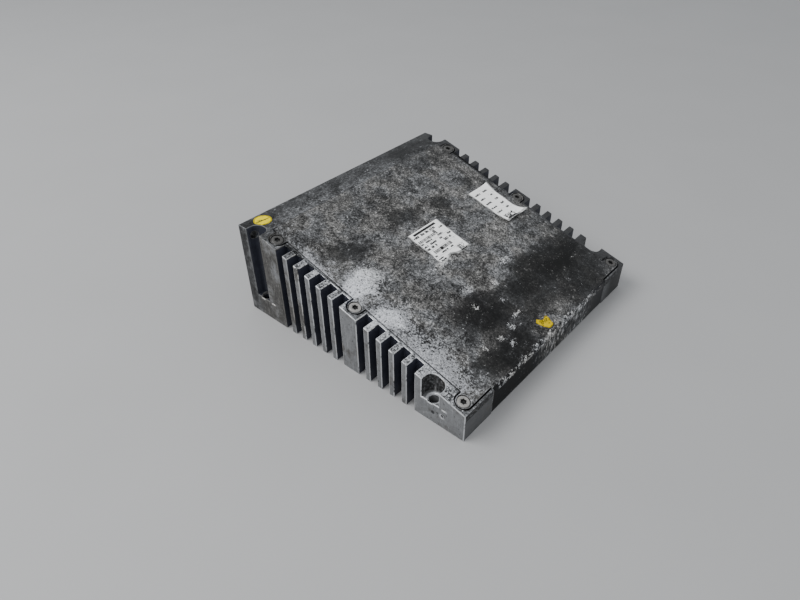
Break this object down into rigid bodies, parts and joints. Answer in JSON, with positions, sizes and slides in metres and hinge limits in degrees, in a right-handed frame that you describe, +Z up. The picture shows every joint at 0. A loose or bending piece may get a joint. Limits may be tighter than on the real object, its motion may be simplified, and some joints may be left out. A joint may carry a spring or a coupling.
{
  "type": "servo drive",
  "caption": "Sealed wedge-shaped servo drive with finned sides, corner bolt pockets, a screwed sloping lid bent over the low end, and power terminals and a signal socket at the tall end.",
  "frame": {"origin": "centre of the housing's rectangular footprint, on its base", "axes": "+Z up from the base, +Y from the low end towards the tall end with the connections, +X towards the signal connector's side"},
  "size_m": [0.195, 0.202, 0.0697],
  "materials": {
    "housing_metal": "machined aluminium with a dirty, scratched oxide skin",
    "lid_coating": "black coating worn to a mottled grey, bare metal along the edges",
    "seal_rubber": "matt black seal rubber",
    "screw_steel": "dull zinc-plated steel",
    "label_film": "scuffed white label film",
    "sticker_yellow": "scuffed yellow paper",
    "black_moulding": "glass-filled black plastic",
    "bare_brass": "bright turned brass",
    "plated_steel": "zinc-plated steel",
    "seal_silicone": "orange silicone",
    "thermal_silicone": "soft grey-blue silicone sheet",
    "board_white": "white solder mask on an aluminium core",
    "chip_epoxy": "black moulding compound",
    "film_red": "red box film capacitors",
    "capacitor_sleeve": "dark blue shrink sleeve",
    "grey_moulding": "grey moulded plastic",
    "tinned_copper": "tinned copper strip",
    "ceramic_white": "white ceramic chip",
    "board_green": "green solder mask",
    "ferrite": "dark ferrite"
  },
  "bodies": {
    "root": {"housing": "housing_metal", "lid": "lid_coating", "lid_gasket": "seal_rubber", "lid_screws": "screw_steel", "rating_label": "label_film", "serial_label": "label_film", "round_sticker": "sticker_yellow", "torn_sticker": "sticker_yellow", "terminal_block": "black_moulding", "terminal_gasket": "seal_rubber", "terminal_bushes": "bare_brass", "terminal_block_screws": "plated_steel", "signal_header": "black_moulding", "signal_gasket": "seal_silicone", "signal_pins": "bare_brass", "signal_screws": "plated_steel", "thermal_pad": "thermal_silicone", "power_board": "board_white", "power_board_screws": "plated_steel", "mosfets": "chip_epoxy", "film_capacitors": "film_red", "dc_capacitors": "capacitor_sleeve", "capacitor_tray": "grey_moulding", "positive_busbar": "tinned_copper", "negative_busbar": "tinned_copper", "phase_busbars": "tinned_copper", "busbar_screws": "plated_steel", "current_sensors": "black_moulding", "temperature_sensor": "ceramic_white", "board_standoffs": "bare_brass", "control_board": "board_green", "board_screws": "plated_steel", "processor": "chip_epoxy", "driver_chips": "chip_epoxy", "power_inductor": "ferrite", "stacking_header": "black_moulding"}
  },
  "joints": []
}
